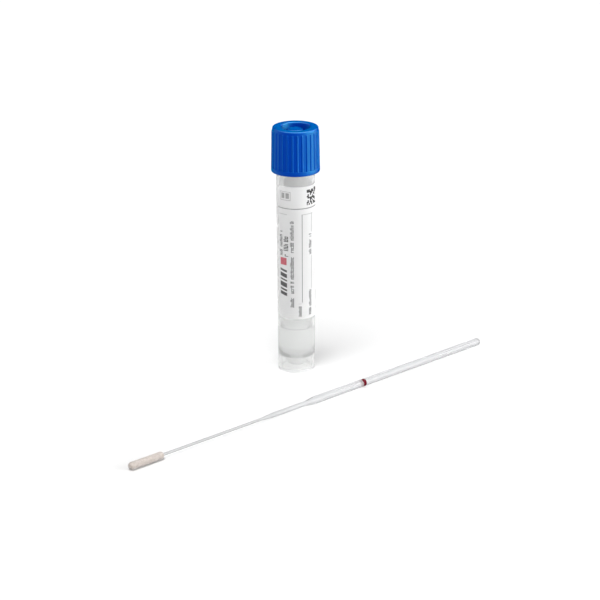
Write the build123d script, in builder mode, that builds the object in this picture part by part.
from build123d import *

# Specimen swab tube: a skirted screw-cap transport tube with its label and its liquid
# medium, and the flocked swab that belongs to it, lying in front of the tube.
# Origin: centre of the tube's foot, on the surface that it stands on.
# +Z runs up the tube, +X along the swab from its tip to its handle.  Millimetres.

import os
from math import atan, cos, radians, sin, tan

# Tube
tube_height = 78.2  # foot to mouth rim
neck_length = 11.4  # mouth rim to the shoulder, where the body begins
body_radius = 6.17  # at the shoulder
draft = 0.25  # degrees a side, on the outside of the body
wall = 1.0  # at the shoulder, above a straight bore
shoulder_step = 0.2  # body to neck
cone_top = 6.9  # where the straight bore meets the conical bottom
cone_wall = 0.95
floor_height = 2.4  # flat at the cone's tip
floor_radius = 1.8
skirt_wall = 0.85  # at the foot
foot_chamfer = 0.2
mouth_chamfer = 0.2

# Screw cap
cap_height = 14.3
ceiling = 1.8  # over the mouth rim
thread_depth = 0.4  # each of the two threads, which are not cut here
thread_gap = 0.2
cap_wall = 0.87  # at the top of the lip
cap_draft = 0.8  # degrees, on the outside
cap_edge_chamfer = 0.2
lip_height = 1.5
lip_proud = 0.04  # beyond the ribs
lip_chamfer = 0.3
lip_lead_in = 0.2
edge_land = 0.3  # flat left on the lip's underside
rib_count = 30
rib_height = 0.22
rib_width = 0.62  # at the wall
rib_flank = 54  # degrees between a rib's side and the wall
rib_root = 0.2  # into the wall
rib_phase = 2.3  # degrees from +X to the first rib
rib_margin = 1.0  # plain band between the ribs and the cap's top
seal_gap = 0.08  # plug to bore, a sliding seal
plug_length = 3.4
plug_wall = 0.85
plug_lead_in = 0.4
web = 0.9  # floor of the well, which closes the plug
well_flare = 0.5  # widening of the well up to the cap's top face
well_chamfer = 0.2
socket_gap = 0.1  # swab handle to socket
socket_wall = 1.1
socket_drop = 0.75  # socket's closed end, below the cap's top face
socket_roof = 1.0
socket_chamfer = 0.2
socket_reach = 7.9  # socket's open end, below the tube's rim
socket_lead_in = 0.6  # widening inside the open end

# Label
label_top = 4.8  # below the shoulder
label_height = 43.8
label_thickness = 0.12
label_arc = 290
label_start = 163  # degrees from +X to the edge that it starts at
label_corner = 1.5

# Liquid medium
liquid_height = 14.6  # of its edge, above the foot
meniscus_rise = 0.5  # up the wall, from the level middle
meniscus_width = 0.9

# Swab, with distances from the tip's end
swab_start = -95.9  # X of the tip's end
swab_offset = -27.5  # Y of the swab
swab_length = 152.1
tip_radius = 1.3
tip_length = 14.1
tip_round = 0.85
tip_chamfer = 0.5  # where the fibre ends on the shaft
tip_cover = 1.4  # fibre over the end of the shaft
neck_shaft_radius = 0.43
waist_start = 53.6
waist_taper = 5.0
waist_radius = 0.75
handle_start = 72.6
handle_taper = 3.6
handle_radius = 1.2
handle_round = 0.7
break_distance = 98.0
notch_depth = 0.16
notch_width = 0.5

# Sizes that follow from the fits between the pieces
shoulder_height = tube_height - neck_length
neck_radius = body_radius - shoulder_step
bore_radius = body_radius - wall
cap_bore = neck_radius + thread_depth + thread_gap
cap_radius = cap_bore + cap_wall
lip_radius = cap_radius + rib_height + lip_proud
cap_top = tube_height + ceiling
cap_bottom = cap_top - cap_height
lip_top = cap_bottom + lip_height
lip_width = lip_radius - cap_bore
socket_bore = handle_radius + socket_gap
socket_radius = socket_bore + socket_wall


def body_at(height):
    return body_radius - (shoulder_height - height) * tan(radians(draft))


def cap_at(height):
    return cap_radius - (height - lip_top) * tan(radians(cap_draft))


def corner(sketch, point):
    return sketch.vertices().sort_by_distance(point)[0]


# Tube: neck, body, conical bottom and the skirt that it stands on, in one moulding.
# The cone's underside follows it at a constant wall, up into the hollow of the skirt.
cone_slope = atan((cone_top - floor_height) / (bore_radius - floor_radius))
under_height = floor_height - cone_wall
under_radius = floor_radius + cone_wall * tan(cone_slope / 2)
skirt_radius = body_at(0) - skirt_wall
skirt_top = under_height + (skirt_radius - under_radius) * tan(cone_slope)
with BuildPart() as tube:
    with BuildSketch(Plane.XZ) as tube_section:
        with BuildLine():
            Polyline(
                (0, floor_height),
                (floor_radius, floor_height),
                (bore_radius, cone_top),
                (bore_radius, tube_height),
                (neck_radius, tube_height),
                (neck_radius, shoulder_height),
                (body_radius, shoulder_height),
                (body_at(0), 0),
                (skirt_radius, 0),
                (skirt_radius, skirt_top),
                (under_radius, under_height),
                (0, under_height),
                close=True,
            )
        make_face()
        chamfer(tube_section.vertices().group_by(Axis.Y)[-1], mouth_chamfer)
        chamfer(tube_section.vertices().group_by(Axis.Y)[0], foot_chamfer)
    revolve(axis=Axis.Z)
tube.part.label = "tube"

# Screw cap: the ribbed shell, the plug that seals the bore, and the socket that holds the
# broken swab by its handle, all round one well in the top
plug_end = tube_height - plug_length
plug_radius = bore_radius - seal_gap
well_floor = plug_end + web
well_radius = plug_radius - plug_wall
socket_top = cap_top - socket_drop
socket_mouth = tube_height - socket_reach
cap_edge = (cap_at(cap_top), cap_top)
lip_edge = (lip_radius, cap_bottom)
well_edge = (well_radius + well_flare, cap_top)
socket_edge = (socket_radius, socket_top)
rib_foot = lip_top - edge_land
rib_top = cap_top - rib_margin
root_width = rib_width + 2 * rib_root / tan(radians(rib_flank))
with BuildPart() as rib:
    with BuildLine() as rib_axis:
        Line((cap_at(rib_foot), 0, rib_foot), (cap_at(rib_top), 0, rib_top))
    with BuildSketch(Plane(rib_axis.line @ 0, (0, -1, 0), rib_axis.line % 0)):
        with Locations((0, -rib_root)):
            Trapezoid(root_width, rib_height + rib_root, rib_flank, align=(Align.CENTER, Align.MIN))
    extrude(amount=(rib_axis.line @ 1 - rib_axis.line @ 0).length)
    chamfer(rib.edges().group_by(Axis.Z)[-1].sort_by(Axis.X)[-1], rib_height + rib_root / 2)

with BuildPart() as screw_cap:
    with BuildSketch(Plane.XZ) as cap_section:
        with BuildLine():
            Polyline(
                (cap_bore, cap_bottom),
                lip_edge,
                (lip_radius, lip_top),
                (cap_radius, lip_top),
                cap_edge,
                well_edge,
                (well_radius, well_floor),
                (socket_radius, well_floor),
                socket_edge,
                (0, socket_top),
                (0, socket_top - socket_roof),
                (socket_bore, socket_top - socket_roof),
                (socket_bore, socket_mouth + socket_lead_in),
                (socket_bore + socket_lead_in, socket_mouth),
                (socket_radius, socket_mouth),
                (socket_radius, plug_end),
                (plug_radius - plug_lead_in, plug_end),
                (plug_radius, plug_end + plug_lead_in),
                (plug_radius, tube_height),
                (cap_bore, tube_height),
                close=True,
            )
        make_face()
        chamfer(corner(cap_section, cap_edge), cap_edge_chamfer)
        chamfer(corner(cap_section, lip_edge), min(lip_chamfer, lip_width - lip_lead_in - edge_land))
        chamfer(corner(cap_section, well_edge), well_chamfer)
        chamfer(corner(cap_section, socket_edge), socket_chamfer)
        chamfer(corner(cap_section, (cap_bore, cap_bottom)), lip_lead_in)
    revolve(axis=Axis.Z)
    with PolarLocations(0, rib_count, start_angle=rib_phase):
        add(rib.part)
screw_cap.part.label = "screw_cap"

# Label: a wrap-round film that follows the body's draft and leaves a clear strip
label_high = shoulder_height - label_top
label_low = label_high - label_height
with BuildPart() as label:
    with BuildSketch(Plane.XZ.rotated((0, 0, label_start))):
        with BuildLine():
            Polyline(
                (body_at(label_low), label_low),
                (body_at(label_low) + label_thickness, label_low),
                (body_at(label_high) + label_thickness, label_high),
                (body_at(label_high), label_high),
                close=True,
            )
        make_face()
    revolve(axis=Axis.Z, revolution_arc=label_arc)
    for edge_angle, across in ((label_start, 1), (label_start + label_arc, -1)):
        edge_plane = Plane.YZ.rotated((0, 0, edge_angle)).offset(body_radius)
        with BuildSketch(edge_plane) as corner_trim:
            with Locations((0, (label_low + label_high) / 2)):
                Rectangle(4 * label_corner, label_height + 2 * label_corner)
            with Locations((across * 4 * label_corner, (label_low + label_high) / 2)):
                RectangleRounded(8 * label_corner, label_height, label_corner, mode=Mode.SUBTRACT)
        extrude(amount=wall, both=True, mode=Mode.SUBTRACT)
label.part.label = "label"

# Liquid medium: fills the cone and the foot of the bore, and climbs the wall a little
with BuildPart() as liquid:
    with BuildSketch(Plane.XZ):
        with BuildLine():
            Polyline(
                (0, floor_height),
                (floor_radius, floor_height),
                (bore_radius, cone_top),
                (bore_radius, liquid_height),
                (bore_radius - meniscus_width, liquid_height - meniscus_rise),
                (0, liquid_height - meniscus_rise),
                close=True,
            )
        make_face()
    revolve(axis=Axis.Z)
liquid.part.label = "liquid"

# The swab rests on the near end of its tip and the far end of its handle.  A tip no
# thicker than the handle hangs clear, and the handle then lies flat.
tip_contact = tip_length - tip_round
handle_contact = swab_length - handle_round
lean = atan(max(0, tip_radius - handle_radius) / (handle_contact - tip_contact))
axis_height = handle_radius * cos(lean) + handle_contact * sin(lean)
swab_plane = Plane((swab_start, swab_offset, axis_height), (cos(lean), 0, -sin(lean)), (0, -1, 0))
swab_axis = Axis(swab_plane.origin, swab_plane.x_dir)

# Swab shaft: thin neck, waist and handle in one moulding, with a scored place to snap it
waist_end = waist_start + waist_taper
handle_end = handle_start + handle_taper
with BuildPart() as swab_shaft:
    with BuildSketch(swab_plane) as shaft_section:
        with BuildLine():
            Polyline(
                (tip_cover, 0),
                (tip_cover, neck_shaft_radius),
                (waist_start, neck_shaft_radius),
                (waist_end, waist_radius),
                (handle_start, waist_radius),
                (handle_end, handle_radius),
                (break_distance - notch_width / 2, handle_radius),
                (break_distance, handle_radius - notch_depth),
                (break_distance + notch_width / 2, handle_radius),
                (swab_length, handle_radius),
                (swab_length, 0),
                close=True,
            )
        make_face()
        fillet(corner(shaft_section, (swab_length, handle_radius)), handle_round)
    revolve(axis=swab_axis)
swab_shaft.part.label = "swab_shaft"

# Flocked tip: the coat of short fibre round the shaft's end
with BuildPart() as flocked_tip:
    with BuildSketch(swab_plane) as tip_section:
        with BuildLine():
            Polyline(
                (0, 0),
                (0, tip_radius),
                (tip_length, tip_radius),
                (tip_length, neck_shaft_radius),
                (tip_cover, neck_shaft_radius),
                (tip_cover, 0),
                close=True,
            )
        make_face()
        fillet(corner(tip_section, (0, tip_radius)), tip_round)
        chamfer(corner(tip_section, (tip_length, tip_radius)), tip_chamfer)
    revolve(axis=swab_axis)
flocked_tip.part.label = "flocked_tip"

os.makedirs("parts", exist_ok=True)
for piece in (tube, screw_cap, label, liquid, swab_shaft, flocked_tip):
    export_step(piece.part, f"parts/{piece.part.label}.step")
